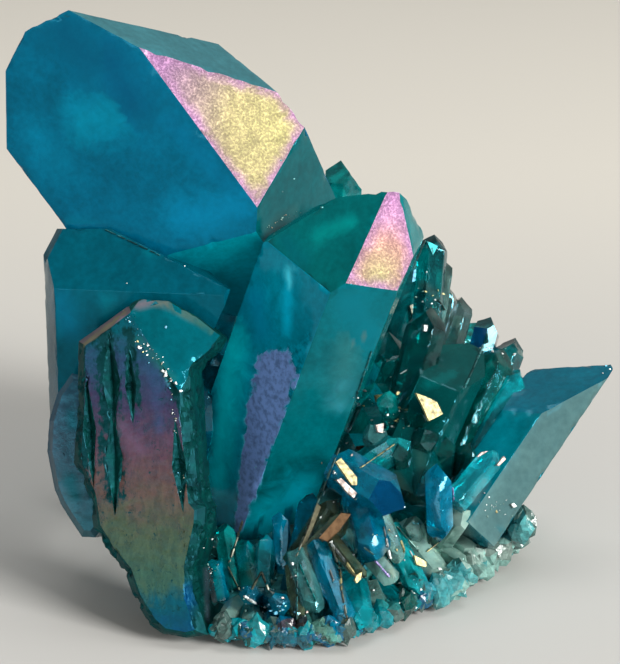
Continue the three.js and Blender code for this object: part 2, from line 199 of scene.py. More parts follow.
# Lighter and darker places inside the crystals, some of them painted light: two pixels on one face that a
# mark runs between, its radius, its colour and its strength.
GLOW_AND_TINT_MARKS = [
    # The first three are painted light: the glow where light passes through the giant.
    ((86, 121), (106, 116), 7.5, (0.0, 0.24, 0.35), 0.55),
    ((35, 135), (60, 165), 6.0, (0.0, 0.2, 0.34), 0.4),
    ((190, 218), (235, 205), 6.0, (0.0, 0.21, 0.41), 0.5),
    ((110, 60), (130, 100), 8.0, (0.0, 0.05, 0.12), 0.8),
    ((170, 120), (235, 195), 3.0, (0.0, 0.12, 0.24), 0.6),
    ((72, 225), (100, 230), 2.4, (0.0, 0.095, 0.15), 0.8),
    ((150, 250), (225, 232), 2.0, (0.0, 0.15, 0.19), 0.6),
    ((270, 150), (285, 205), 3.0, (0.0, 0.12, 0.15), 0.5),
    ((268, 228), (296, 210), 1.6, (0.02, 0.12, 0.12), 0.6),
    # Painted highlight: the glint inside the spire, and in the next mark the painted beam of light below it.
    ((288, 271), (289, 285), 1.4, (0.06, 0.7, 0.9), 0.95),
    ((288, 290), (286, 330), 2.0, (0.0, 0.56, 0.86), 0.6),
    # Painted light: the spire's bright left strip, where light passes through it.
    ((232, 340), (214, 475), 5.5, (0.0, 0.85, 0.98), 0.9),
    ((255, 300), (262, 330), 4.5, (0.0, 0.2, 0.38), 0.6),
    ((285, 240), (300, 262), 3.0, (0.0, 0.075, 0.11), 0.6),
    ((320, 235), (350, 222), 2.2, (0.0, 0.29, 0.27), 0.6),
    ((350, 302), (370, 335), 8.0, (0.0, 0.12, 0.16), 0.9),
    ((348, 345), (340, 400), 4.5, (0.04, 0.16, 0.16), 0.45),
    # Painted light: the spire's foot, lit up against the shadow that the front crystals cast on it.
    ((262, 526), (302, 488), 6.0, (0.0, 0.72, 0.92), 0.95),
    ((60, 300), (72, 330), 4.0, (0.0, 0.11, 0.21), 0.6),
    ((108, 300), (108, 312), 2.5, (0.0, 0.16, 0.21), 0.5),
    ((84, 344), (124, 313), 0.9, (0.16, 0.15, 0.07), 0.8),
    ((138, 305), (152, 302), 1.2, (0.13, 0.105, 0.125), 0.9),
    ((153, 302), (168, 304), 1.3, (0.12, 0.115, 0.085), 0.9),
    ((168, 304), (195, 319), 1.2, (0.075, 0.11, 0.075), 0.9),
    ((196, 320), (214, 333), 1.0, (0.055, 0.11, 0.06), 0.8),
    ((60, 32), (92, 60), 9.0, (0.0, 0.055, 0.115), 0.8),
    ((140, 340), (172, 378), 1.4, (0.01, 0.09, 0.085), 0.7),
    ((152, 372), (160, 430), 1.3, (0.025, 0.042, 0.12), 0.45),
    ((76, 350), (73, 425), 1.5, (0.0, 0.11, 0.15), 0.8),
    ((186, 596), (168, 630), 3.2, (0.0, 0.055, 0.19), 0.85),
    ((120, 425), (140, 450), 2.0, (0.11, 0.045, 0.085), 0.6),
    ((70, 480), (75, 495), 2.0, (0.0, 0.06, 0.07), 0.9),
]
# Broad strokes of colour over small crystals and rock: two pixels, the radius in pixels, and the colour.
STROKES = [
    ((270, 545), (290, 508), 12, (0.0, 0.26, 0.44)),
    ((240, 562), (262, 520), 10, (0.0, 0.24, 0.33)),
    ((220, 560), (228, 605), 6, (0.0, 0.18, 0.34)),
    ((206, 570), (208, 620), 5, (0.035, 0.045, 0.06)),
    ((250, 572), (262, 590), 7, (0.08, 0.11, 0.06)),
    ((240, 600), (262, 625), 11, (0.01, 0.23, 0.25)),
    ((276, 640), (300, 642), 9, (0.0, 0.12, 0.17)),
    ((282, 626), (302, 622), 5, (0.07, 0.035, 0.035)),
    ((307, 552), (310, 592), 8, (0.13, 0.24, 0.22)),
    ((304, 590), (312, 620), 5, (0.02, 0.055, 0.035)),
    ((320, 556), (336, 630), 7, (0.0, 0.19, 0.34)),
    ((316, 622), (334, 636), 7, (0.1, 0.3, 0.24)),
    ((338, 560), (345, 600), 4, (0.065, 0.085, 0.045)),
    ((350, 538), (356, 575), 10, (0.0, 0.045, 0.035)),
    ((360, 602), (370, 622), 10, (0.0, 0.24, 0.28)),
    ((372, 560), (376, 588), 7, (0.0, 0.04, 0.032)),
    ((385, 548), (392, 575), 7, (0.27, 0.33, 0.24)),
    ((370, 522), (378, 545), 10, (0.0, 0.15, 0.31)),
    ((396, 530), (402, 556), 4, (0.0, 0.21, 0.26)),
    ((416, 530), (430, 556), 8, (0.21, 0.38, 0.35)),
    ((406, 566), (412, 600), 6, (0.01, 0.11, 0.095)),
    ((424, 572), (434, 592), 6, (0.0, 0.28, 0.35)),
    ((384, 600), (396, 604), 8, (0.01, 0.24, 0.24)),
    ((345, 350), (372, 330), 6, (0.06, 0.13, 0.13)),
    ((420, 345), (456, 345), 15, (0.0, 0.048, 0.043)),
    ((428, 385), (452, 374), 10, (0.0, 0.095, 0.095)),
    ((385, 350), (400, 326), 11, (0.0, 0.085, 0.095)),
    ((418, 440), (424, 480), 11, (0.018, 0.065, 0.055)),
    ((396, 476), (412, 500), 9, (0.022, 0.03, 0.018)),
    ((446, 425), (468, 450), 14, (0.0, 0.048, 0.043)),
    ((500, 372), (478, 410), 8, (0.0, 0.095, 0.1)),
    ((424, 284), (440, 300), 8, (0.065, 0.11, 0.095)),
    ((434, 312), (436, 314), 8, (0.11, 0.16, 0.14)),
    ((454, 312), (468, 312), 8, (0.08, 0.13, 0.145)),
    ((488, 332), (492, 330), 7, (0.075, 0.17, 0.2)),
    ((490, 350), (496, 348), 7, (0.0, 0.13, 0.23)),
    ((514, 354), (524, 356), 9, (0.0, 0.12, 0.115)),
    ((476, 466), (495, 458), 8, (0.0, 0.14, 0.2)),
    ((474, 500), (484, 482), 9, (0.13, 0.22, 0.23)),
    ((458, 516), (470, 552), 15, (0.31, 0.44, 0.39)),
    ((490, 548), (505, 552), 8, (0.14, 0.18, 0.16)),
    ((515, 528), (522, 542), 9, (0.16, 0.27, 0.25)),
    ((498, 524), (506, 536), 5, (0.0, 0.11, 0.14)),
    ((451, 556), (456, 560), 5, (0.0, 0.085, 0.075)),
    ((458, 576), (440, 592), 10, (0.04, 0.27, 0.3)),
]
# How strongly a stroke colours what it crosses.
STROKE_SHARE = 0.75
# How far behind or before a stroke's own distance it still colours, in millimetres.
STROKE_DEPTH = 7.0
# The matt iridescent stain down the spire's left face: two pixels and a radius for each stretch.
STAIN_COLOR = (0.125, 0.22, 0.48)
STAIN = [((275, 372), (262, 425), 4.6), ((258, 430), (248, 490), 3.2), ((246, 490), (241, 525), 1.8)]

# The plate's own axes, from its lowest front corner, its reach along them, and its colours by height up to
# `PLATE_HEIGHT`.
PLATE_CORNER = (-18.66, -40.55, 1.3)
PLATE_RIGHT = (0.987, -0.16, 0.0)
PLATE_UP = (0.057, 0.35, 0.935)
PLATE_REACH = {"left": -25.0, "right": 4.5, "low": -3.0, "back": -12.0}
PLATE_HEIGHT = 50.0
PLATE_COLORS = [
    (1.0, (0.0, 0.028, 0.075)),
    (5.0, (0.0, 0.045, 0.065)),
    (8.0, (0.03, 0.064, 0.031)),
    (15.0, (0.048, 0.055, 0.02)),
    (21.0, (0.082, 0.038, 0.026)),
    (26.0, (0.074, 0.025, 0.038)),
    (33.0, (0.032, 0.014, 0.05)),
    (38.0, (0.015, 0.032, 0.078)),
    (43.0, (0.0, 0.055, 0.075)),
]
# How much of the plate's skin the flake behind it has.
FLAKE_SKIN = 0.35
# What the matrix's own colour is multiplied by, from its darkest layers to its lightest.
ROCK_SHADES = [
    (0.32, (0.25, 0.25, 0.25)),
    (0.45, (0.7, 0.8, 0.8)),
    (0.55, (1.2, 1.15, 1.1)),
    (0.68, (2.6, 1.8, 1.6)),
]
# The plate's broken sides, and its fissures.
CRAG_COLOR = (0.0, 0.026, 0.022)
FISSURE_COLOR = (0.0, 0.014, 0.012)
# Rough fissures down the plate: top, bottom and half width on the plate's axes.
FISSURES = [
    ((-14.5, 44), (-11.6, 20), 1.7),
    ((-10.8, 43), (-9.4, 33), 1.0),
    ((-18.2, 41), (-15.8, 20), 1.0),
    ((-6.0, 40), (-2.6, 33), 0.8),
    ((-2.6, 33), (-0.6, 22), 0.6),
]

# Thin bright edges, most of them painted highlights along the crystals' edges: two pixels, width in pixels,
# colour.
EDGE_HIGHLIGHTS = [
    ((331, 542), (347, 562), 2.5, "white"),
    ((347, 562), (358, 578), 3.0, "gold"),
    ((333, 546), (341, 572), 1.5, "beige"),
    ((341, 572), (342, 590), 2.2, "gold"),
    ((342, 590), (348, 620), 1.5, "beige"),
    ((330, 569), (334, 580), 2.6, "white"),
    ((298, 562), (297, 620), 1.6, "grey"),
    ((299, 562), (316, 600), 1.2, "green"),
    ((384, 526), (391, 559), 2.2, "white"),
    ((397, 526), (419, 551), 1.6, "pale"),
    ((401, 540), (405, 551), 2.5, "gold"),
    ((410, 550), (416, 562), 3.0, "white"),
    ((427, 552), (441, 541), 1.3, "gold"),
    ((362, 467), (395, 444), 1.6, "gold"),
    ((402, 592), (409, 599), 2.5, "white"),
    ((372, 352), (345, 432), 0.9, "grey"),
    ((340, 448), (312, 518), 1.1, "pale"),
    ((312, 518), (297, 556), 1.6, "beige"),
    ((243, 522), (230, 562), 1.8, "beige"),
    ((228, 566), (240, 590), 1.6, "brown"),
    ((484, 345), (465, 388), 2.2, "grey"),
    ((453, 487), (454, 500), 2.0, "violet"),
    ((376, 561), (390, 577), 3.0, "violet"),
    ((364, 547), (374, 554), 1.6, "pale"),
    ((252, 590), (262, 571), 2.2, "brown"),
    ((262, 572), (269, 590), 2.0, "beige"),
    ((105, 229), (160, 255), 0.8, "grey"),
    ((426, 240), (414, 268), 1.2, "grey"),
    ((400, 374), (407, 370), 1.0, "white"),
    ((440, 300), (446, 311), 2.0, "pale"),
    ((322, 641), (340, 639), 2.5, "pale"),
    ((346, 637), (352, 632), 3.0, "white"),
    ((245, 596), (257, 604), 3.0, "white"),
]
# Bright facets: the pixels round each, and its colour. The shining ones are painted glints, turned to mirror
# the key light; those of a MATT colour don't shine.
MATT = {"sand", "clay"}
# A matt facet leans this way from the flash.
MATT_LEAN = (-0.5, 0.0, 0.3)
FACETS = [
    ([(317, 503), (321, 507), (311, 532), (301, 557), (297, 556), (309, 527)], "sand"),
    ([(341, 513), (351, 514), (339, 530), (327, 541), (319, 538)], "clay"),
    ([(284, 518), (288, 519), (288, 540), (286, 557), (282, 556)], "sand"),
    ([(336, 462), (341, 458), (357, 477), (357, 485), (352, 485)], "gold"),
    ([(337, 480), (341, 478), (357, 493), (354, 498), (347, 492)], "rose"),
    ([(410, 306), (413, 304), (418, 317), (427, 325), (425, 331), (415, 323)], "beige"),
    ([(424, 325), (428, 325), (427, 331), (424, 331)], "white"),
    ([(416, 393), (427, 397), (437, 402), (443, 414), (429, 421), (423, 407)], "gold"),
    ([(375, 395), (383, 394), (389, 401), (381, 404), (377, 402)], "gold"),
    ([(384, 423), (376, 425), (378, 432), (383, 433)], "rose"),
    ([(427, 241), (438, 246), (433, 255)], "cyan"),
    ([(412, 282), (414, 270), (420, 268), (418, 280)], "sky"),
    ([(477, 457), (482, 452), (488, 451), (480, 456)], "rose"),
    ([(497, 465), (504, 456), (506, 459), (499, 466)], "rose"),
    ([(511, 504), (514, 503), (517, 506), (514, 508)], "white"),
    ([(414, 555), (427, 562), (426, 567), (417, 565)], "gold"),
    ([(357, 446), (367, 445), (360, 451)], "rust"),
    ([(355, 580), (357, 575), (362, 572), (361, 579), (357, 583)], "gold"),
]
# Glints, small facets painted as highlights in white, gold, sky and rose, and a few rust spots: the colour,
# then the pixel and the width in pixels of each.
GLINTS = {
    "white": [
        ((293, 564), 4), ((366, 391), 4), ((388, 415), 4), ((372, 420), 3), ((391, 377), 2),
        ((440, 569), 4), ((444, 588), 4), ((421, 589), 3), ((374, 590), 3), ((391, 558), 2.5),
        ((480, 546), 4), ((331, 542), 4), ((347, 443), 2.5), ((334, 502), 2), ((435, 300), 3),
        ((321, 534), 2), ((321, 517), 2), ((405, 503), 1.5), ((405, 507), 1.5), ((212, 539), 3),
        ((214, 547), 2), ((296, 623), 2.5), ((287, 630), 2), ((297, 576), 3), ((292, 577), 2.5),
        ((427, 272), 2), ((335, 473), 2), ((521, 518), 2), ((127, 283), 1.5), ((185, 266), 1.5),
        ((166, 374), 6), ((176, 383), 5), ((181, 391), 5), ((140, 348), 6), ((163, 371), 4),
        ((610, 369), 2.5), ((603, 373), 2),
    ],
    "gold": [
        ((398, 393), 5), ((400, 408), 4), ((444, 294), 3), ((349, 620), 4), ((497, 512), 4),
        ((143, 352), 3),
    ],
    "sky": [
        ((269, 605), 3), ((271, 611), 4), ((276, 613), 5), ((280, 606), 3), ((284, 603), 3),
        ((283, 610), 3), ((166, 327), 4), ((256, 467), 2), ((130, 322), 2), ((606, 366), 2.5),
        ((149, 363), 2), ((170, 388), 2),
    ],
    "rose": [((352, 455), 3), ((379, 428), 3), ((307, 612), 3), ((283, 598), 3)],
    "rust": [((283, 625), 5), ((299, 626), 6), ((357, 448), 4), ((290, 632), 4)],
}
# Strings of small sparkles, painted highlights: two pixels, the spread in pixels, how many, and their
# colours.
SPARKLES = [
    ((124, 312), (182, 392), 2.0, 34, ["white", "white", "sky", "beige"]),
    ((264, 230), (300, 212), 2.5, 16, ["pale", "beige", "pale"]),
    ((270, 150), (320, 205), 9.0, 5, ["grey"]),
    ((138, 344), (146, 352), 2.0, 8, ["white", "gold"]),
    ((172, 400), (188, 500), 4.5, 16, ["white", "pale", "sky", "beige"]),
    ((204, 540), (214, 580), 4.0, 10, ["white", "pale", "rose"]),
    ((240, 590), (290, 616), 9.0, 22, ["white", "pale", "sky"]),
    ((330, 466), (356, 500), 5.0, 14, ["white", "beige"]),
    ((366, 395), (400, 430), 9.0, 18, ["white", "gold", "beige"]),
    ((410, 285), (440, 305), 6.0, 12, ["white", "pale", "gold"]),
    ((478, 350), (534, 358), 4.0, 12, ["white", "pale"]),
    ((480, 500), (524, 520), 7.0, 26, ["white", "white", "pale"]),
    ((400, 600), (500, 550), 7.0, 26, ["white", "pale"]),
    ((300, 640), (356, 634), 4.0, 14, ["white", "pale", "beige"]),
    ((380, 530), (420, 560), 7.0, 14, ["white", "pale", "gold"]),
]
# Thickness of a bright edge or facet, and how far it stands in front of the stone. A facet stands on the
# nearest stone within its outline that is less than `FACET_DEPTH` in front of the farthest.
SLAB = 0.5
RISE = 0.3
FACET_DEPTH = 6.0
# Outline of one stretch of a bright edge: shares of its length and of its half width.
BAR = [(0.0, 0.3), (0.1, 0.9), (0.8, 0.9), (1.0, 0.1), (0.9, -0.8), (0.1, -0.9)]
# A stretch that crosses a step in the stone of more than this lies flat on the nearer side.
BAR_LEAP = 2.0
# How far the small bodies stay inside the CAD box.
SPARE = 0.02

# Broken foot of the matrix: a line of pixels with the height in millimetres that the rubble is seen at.
FOOT = [
    ((216, 630), 1.9), ((258, 638), 1.7), ((300, 641), 1.7), ((340, 635), 1.7), ((384, 615), 1.7),
    ((438, 594), 1.5), ((472, 568), 2.2), ((500, 552), 2.6), ((516, 536), 4.2), ((525, 522), 6.2),
]
# Lumps on each pixel of that line, and their radius.
RUBBLE_PER_PIXEL = 0.7
RUBBLE_RADIUS = (1.0, 1.9)
# Right of this pixel the rubble is larger and paler: its size, how fast its painted shade lightens upwards
# from the floor, its colours.
RIGHT_FROM = 430
LEFT_RUBBLE = (1.0, 0.15, ["dark green", "teal", "deep", "smoke"])
RIGHT_RUBBLE = (1.3, 0.22, ["pale", "pale", "smoke", "grey"])

# Tiny crystals on each square millimetre of matrix, from this height up.
DRUSE_PER_MM2 = 0.5
DRUSE_FROM = 1.2

# Corners nearer than `WELD`, in metres, are one, and faces that meet at less than `FLAT` are one. Where faces
# meet in a valley deeper than `VALLEY`, two crystals have grown together. A group of more than `MATRIX_FACES`
# faces is the matrix or the plate.
WELD = 2e-6
FLAT = math.radians(0.15)
VALLEY = math.radians(12)
MATRIX_FACES = 45

# Longest edge of the fine mesh, and the angle that an edge is sharp from.
LONGEST_EDGE = {"plain": 1.45, "rough": 0.8, "under": 1.3}
CREASE = math.radians(4)
# How far the underside's rim is lifted, ring by ring inwards, and the height that this fades out at.
HOLLOW = (0.9, 0.6, 0.3)
HOLLOW_FADE = 2.2
# Points below the first height belong to the underside, and nothing is cut below the second.
UNDERSIDE = 0.05
CUT_FROM = 0.1
# Height from which the crags have their full depth.
CRAG_FADE = 4.0
# Depth in a mark of a point that no mark is near, and distance of a point that no gilt face is near.
NO_MARK = -3.0
NO_GILT = 9.0

# Quartz: refraction, the tint of its mirroring, the light it lets through, and how metallic gilding looks.
IOR = 1.54
SPECULAR_TINT = (0.10, 0.55, 0.75)
ABSORPTION_COLOR = (0.0, 0.917, 0.947)
ABSORPTION_DENSITY = 80.0
GILT_METAL = 0.4
ROUGHNESS = {"clear": 0.12, "plate": 0.4, "gloss": 0.04, "dull": 0.5, "gilt": 0.55}
# Strength and depth in millimetres of the fine relief.
RELIEF = {"clear": 0.1, "plate": 0.5, "small": 0.35, "gilt": 1.0, "druse_and_glints": 0.6}
RELIEF_DEPTH = 0.15
GILT_RELIEF_DEPTH = 0.3


# ---------------------------------------------------------------- camera, light and floor

def link(thing):
    bpy.context.collection.objects.link(thing)
    return thing


def aimed(place, target):
    """Matrix of a camera or light at `place` that looks at `target`."""
    turn = (target - place).to_track_quat("-Z", "Y").to_matrix().to_4x4()
    return Matrix.Translation(place) @ turn


def make_camera():
    data = bpy.data.cameras.new("camera")
    data.sensor_width = SENSOR
    data.lens = FOCAL_PIXELS / max(PHOTO_SIZE) * SENSOR
    data.clip_start = 0.01
    data.clip_end = 20.0
    camera = link(bpy.data.objects.new("camera", data))
    camera.matrix_world = aimed(Vector(CAMERA_AT) * MM, Vector(CAMERA_TARGET) * MM)
    bpy.context.scene.camera = camera
    return camera


def make_lights():
    target = Vector(LIGHT_TARGET) * MM
    for name, (toward, size, power, color) in LIGHTS.items():
        data = bpy.data.lights.new(name, "AREA")
        data.shape = "RECTANGLE"
        data.size = size[0] * MM
        data.size_y = size[1] * MM
        data.energy = power
        data.color = color
        light = link(bpy.data.objects.new(name, data))
        light.matrix_world = aimed(target + Vector(toward).normalized() * LIGHT_DISTANCE * MM, target)
    world = bpy.data.worlds.new("studio")
    bpy.context.scene.world = world
    world.use_nodes = True
    background = world.node_tree.nodes["Background"]
    background.inputs["Color"].default_value = SKY_COLOR
    background.inputs["Strength"].default_value = SKY_STRENGTH
    bpy.context.scene.view_settings.view_transform = "Standard"


def make_floor():
    """Pale sheet with painted light: darker and cooler near the cluster, lighter and warmer far behind it."""
    mesh = bpy.data.meshes.new("floor")
    half = FLOOR_HALF * MM
    corners = [(-half, -half, 0), (half, -half, 0), (half, half, 0), (-half, half, 0)]
    mesh.from_pydata(corners, [], [(0, 1, 2, 3)])
    floor = link(bpy.data.objects.new("floor", mesh))
    g = Graph("floor")
    behind = g.step(g.vector("DOT_PRODUCT", g.place, (0, 1, 0)), 0.0, FLOOR_WARM_FROM)
    g.set("Base Color", g.mix(behind, FLOOR_COOL, FLOOR_WARM))
    g.set("Roughness", 0.6)
    mesh.materials.append(g.material)


# ---------------------------------------------------------------- nodes

class Graph:
    """A material's nodes. Most methods add a node and return one of its outputs."""

    def __init__(self, name):
        self.material = bpy.data.materials.new(name)
        self.material.use_nodes = True
        self.tree = self.material.node_tree
        self.shader = self.tree.nodes["Principled BSDF"]
        self.place = self.scale(self.node("TexCoord", "Object", {}), 1 / MM)

    def feed(self, socket, value):
        if isinstance(value, bpy.types.NodeSocket):
            self.tree.links.new(value, socket)
        elif isinstance(value, tuple) and len(socket.default_value) == 4:
            socket.default_value = (*value, 1.0)
        else:
            socket.default_value = value

    def set(self, name, value):
        self.feed(self.shader.inputs[name], value)

    def node(self, kind, output, inputs, **settings):
        """A new node, its inputs given by name or by number."""
        node = self.tree.nodes.new("ShaderNode" + kind)
        for name, value in settings.items():
            setattr(node, name, value)
        for name, value in inputs.items():
            self.feed(node.inputs[name], value)
        return node.outputs[output]

    def math(self, operation, *values):
        return self.node("Math", 0, dict(enumerate(values)), operation=operation)

    def most(self, first, *others):
        for other in others:
            first = self.math("MAXIMUM", first, other)
        return first

    def vector(self, operation, a, b):
        output = "Value" if operation == "DOT_PRODUCT" else "Vector"
        return self.node("VectorMath", output, {0: a, 1: b}, operation=operation)

    def scale(self, vector, factor):
        return self.node("VectorMath", "Vector", {0: vector, "Scale": factor}, operation="SCALE")

    def mix(self, share, a, b):
        """Colour between a and b."""
        return self.node("Mix", 2, {0: share, 6: a, 7: b}, data_type="RGBA")

    def blend(self, share, a, b):
        """Number between a and b."""
        return self.node("Mix", 0, {0: share, 2: a, 3: b}, data_type="FLOAT")

    def noise(self, scale, detail, roughness, distortion=0.0, place=None):
        """Cloud noise from 0 to 1; `scale` is in features a millimetre."""
        inputs = {"Vector": place or self.place, "Scale": scale, "Detail": detail}
        inputs |= {"Roughness": roughness, "Distortion": distortion}
        return self.node("TexNoise", "Fac", inputs)

    def step(self, value, low, high):
        """0 at `low`, 1 at `high`, smooth between."""
        inputs = {"Value": value, "From Min": low, "From Max": high}
        return self.node("MapRange", "Result", inputs, interpolation_type="SMOOTHSTEP")

    def number(self, name, output="Fac"):
        return self.node("Attribute", output, {}, attribute_name=name)

    def color(self, name):
        return self.number(name, "Color")

    def ramp(self, value, stops):
        """Colour of `value` along the stops, given as (place from 0 to 1, colour)."""
        node = self.tree.nodes.new("ShaderNodeValToRGB")
        elements = node.color_ramp.elements
        while len(elements) < len(stops):
            elements.new(0.5)
        for element, (place, color) in zip(elements, stops):
            element.position = place
            element.color = (*color, 1)
        self.feed(node.inputs[0], value)
        return node.outputs["Color"]

    def relief(self, strength, depth, height):
        inputs = {"Strength": strength, "Distance": depth, "Height": height}
        self.set("Normal", self.node("Bump", "Normal", inputs))


# ---------------------------------------------------------------- the cluster

def packed_solid():
    """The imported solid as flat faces, one for each crystal face."""
    bm = bmesh.new()
    bm.from_mesh(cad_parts["quartz_cluster"].data)
    bmesh.ops.remove_doubles(bm, verts=bm.verts, dist=WELD)
    bmesh.ops.dissolve_limit(bm, angle_limit=FLAT, verts=bm.verts, edges=bm.edges)
    bm.faces.ensure_lookup_table()
    return bm


def grown_crystals(bm):
    """Groups of faces that meet at ridges, and the group that each face is in."""
    group_of = {}
    groups = []
    for first in bm.faces:
        if first in group_of:
            continue
        group = [first]
        group_of[first] = len(groups)
        for face in group:
            for edge in face.edges:
                other = next(side for side in edge.link_faces if side is not face)
                if other not in group_of and edge.calc_face_angle_signed() > -VALLEY:
                    group_of[other] = len(groups)
                    group.append(other)
        groups.append(group)
    return groups, group_of


class Sight:
    """Lines of sight through pixels of the photograph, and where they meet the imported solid."""

    def __init__(self, camera, bm):
        self.eye = camera.matrix_world.translation / MM
        self.turn = camera.matrix_world.to_3x3()
        self.tree = BVHTree.FromBMesh(bm)

    def ray(self, pixel):
        """Line of sight, as long as to reach one millimetre along the camera's axis."""
        x = (pixel[0] - PHOTO_SIZE[0] / 2) / FOCAL_PIXELS
        y = (PHOTO_SIZE[1] / 2 - pixel[1]) / FOCAL_PIXELS
        return self.turn @ Vector((x, y, -1.0))

    def meet(self, pixel):
        """Point, normal, face index and distance where the line of sight meets the solid."""
        return self.tree.ray_cast(self.eye * MM, self.ray(pixel))

    def face(self, pixel):
        return self.meet(pixel)[2]

    def normal(self, pixel):
        return self.meet(pixel)[1]

    def depth(self, pixel):
        """Distance along the camera's axis to the solid, or None beside it."""
        point = self.meet(pixel)[0]
        return None if point is None else (point / MM - self.eye).length / self.ray(pixel).length

    def at(self, pixel, depth):
        return self.eye + self.ray(pixel) * depth

    def point(self, pixel):
        return self.at(pixel, self.depth(pixel))

    def onto(self, pixel, point, normal):
        """Where the line of sight meets the plane through `point`."""
        ray = self.ray(pixel)
        return self.eye + ray * ((point - self.eye).dot(normal) / ray.dot(normal))

    def flash(self, point):
        """Normal of a face at `point` that mirrors the key light into the camera."""
        return ((self.eye - point).normalized() + Vector(KEY_TOWARD).normalized()).normalized()

    def nearest(self, point):
        return self.tree.find_nearest(point * MM)[0] / MM

    def pixels(self, points):
        """Pixel of each point, and its distance along the camera's axis."""
        local = (points - np.array(self.eye)) @ np.array(self.turn)
        away = -local[:, 2]
        x = PHOTO_SIZE[0] / 2 + local[:, 0] / away * FOCAL_PIXELS
        y = PHOTO_SIZE[1] / 2 - local[:, 1] / away * FOCAL_PIXELS
        return np.stack([x, y], axis=1), away


def same_plane(face, group):
    """Faces of the group that lie in the face's plane, within a twentieth of a millimetre."""
    def level(other):
        return abs((other.verts[0].co - face.verts[0].co).dot(face.normal)) < 0.05 * MM

    return [other for other in group if other.normal.dot(face.normal) > 0.9995 and level(other)]


def plate_axes():
    """Right, up and outward directions of the plate."""
    right = Vector(PLATE_RIGHT).normalized()
    outward = right.cross(Vector(PLATE_UP)).normalized()
    return right, outward.cross(right), outward


def on_plate(face):
    offset = face.calc_center_median() / MM - Vector(PLATE_CORNER)
    right, up, outward = (offset.dot(axis) for axis in plate_axes())
    between = PLATE_REACH["left"] < right < PLATE_REACH["right"]
    return between and up > PLATE_REACH["low"] and outward > PLATE_REACH["back"]


def guessed_color(place, draw):
    """Colour of a small crystal by where it grows: in the thicket, along the front or behind."""
    if place.x > 2 and place.z > 19:
        return draw.choice(["dark green", "green", "green", "teal", "grey"])
    if place.y < -12:
        return draw.choice(["teal", "green", "blue", "pale", "pale", "grey", "brown"])
    return draw.choice(["teal", "blue", "green", "grey"])


def shaded(color, shade):
    return [channel * shade for channel in COLORS[color]]


def mark_faces(bm, sight):
    """Writes each face's colour, clearness and finish."""
    for name in FINISHES:
        bm.faces.layers.float.new(name)
    bm.faces.layers.float_color.new("tint")
    layer = {name: bm.faces.layers.float[name] for name in FINISHES}
    layer["tint"] = bm.faces.layers.float_color["tint"]
    bm.faces.ensure_lookup_table()
    groups, group_of = grown_crystals(bm)
    draw = random.Random(4)

    def paint(faces, color, clear, gloss=0.0):
        for face in faces:
            face[layer["tint"]] = (*color, 1)
            face[layer["clear"]] = clear
            face[layer["gloss"]] = gloss
            face[layer["rock"]] = 0.0

    def paint_matrix(face):
        plated = on_plate(face)
        skin = plated and face.normal.dot(plate_axes()[2]) > 0.97
        if plated:
            paint([face], CRAG_COLOR, 0.0)
        else:
            pale = face.calc_center_median().x > PALE_FROM * MM
            paint([face], BROKEN_COLOR if pale else ROCK_COLOR, MATRIX_CLEAR)
        face[layer["plate"]] = float(skin)
        face[layer["rock"]] = float(not skin)

    def crystal_at(pixel):
        return groups[group_of[bm.faces[sight.face(pixel)]]]

    for group in groups:
        place = sum((f.calc_center_median() for f in group), Vector()) / len(group) / MM
        shade = draw.uniform(0.8, 1.2)
        paint(group, shaded(guessed_color(place, draw), shade), draw.uniform(*SMALL_CLEAR), 1.0)
        if len(group) > MATRIX_FACES:
            for face in group:
                paint_matrix(face)
    for color, pixels in SMALL.items():
        for pixel in pixels:
            shade = draw.uniform(0.85, 1.15)
            paint(crystal_at(pixel), shaded(color, shade), draw.uniform(*SMALL_CLEAR), 1.0)
    for pixel in BROKEN:
        for face in crystal_at(pixel):
            paint([face], BROKEN_COLOR, BROKEN_CLEAR)
            face[layer["rock"]] = BROKEN_ROCK
    for name, (pixel, color, clear, gloss) in LARGE.items():
        group = crystal_at(pixel)
        paint(group, color, clear, gloss)
        for face in group:
            face[layer["plate"]] = FLAKE_SKIN if name == "flake" else 0.0
    for pixel, color, finish in FACES:
        for face in same_plane(bm.faces[sight.face(pixel)], crystal_at(pixel)):
            clear = face[layer["clear"]] or PLATE_CLEAR
            paint([face], color, clear * CLEAR_SHARE[finish])
            face[layer["plate"]] = 0.0
            face[layer["frost"]] = float(finish == "frost")
    gilt_outlines = []
    for golden, _, _ in GILT_SHEEN:
        seen = bm.faces[sight.face(golden)]
        gilt_outlines.append([v.co / MM for v in seen.verts])
        for face in same_plane(seen, crystal_at(golden)):
            face[layer["gilt"]] = 1.0
            face[layer["clear"]] = 0.0
    return layer, gilt_outlines


def make_fine(bm, layer):
    """Cuts the long edges in half, round after round, until none is longer than its place asks for."""
    def longest(edge):
        if all(v.co.z < 0.01 * MM for v in edge.verts):
            return LONGEST_EDGE["under"]
        rough = any(f[layer["rock"]] or f[layer["plate"]] for f in edge.link_faces)
        return LONGEST_EDGE["rough" if rough else "plain"]

    bmesh.ops.triangulate(bm, faces=bm.faces)
    for _ in range(8):
        long_edges = [edge for edge in bm.edges if edge.calc_length() > longest(edge) * MM]
        if not long_edges:
            break
        bmesh.ops.subdivide_edges(bm, edges=long_edges, cuts=1, use_grid_fill=True)
        bmesh.ops.triangulate(bm, faces=[f for f in bm.faces if len(f.verts) > 3])


def stretch_distance(points, a, b):
    """Distance of each point from the stretch between a and b."""
    a, run = np.array(a), np.array(b) - np.array(a)
    along = np.clip((points - a) @ run / max(run @ run, 1e-9), 0, 1)
    return np.linalg.norm(points - a - along[:, None] * run, axis=1)


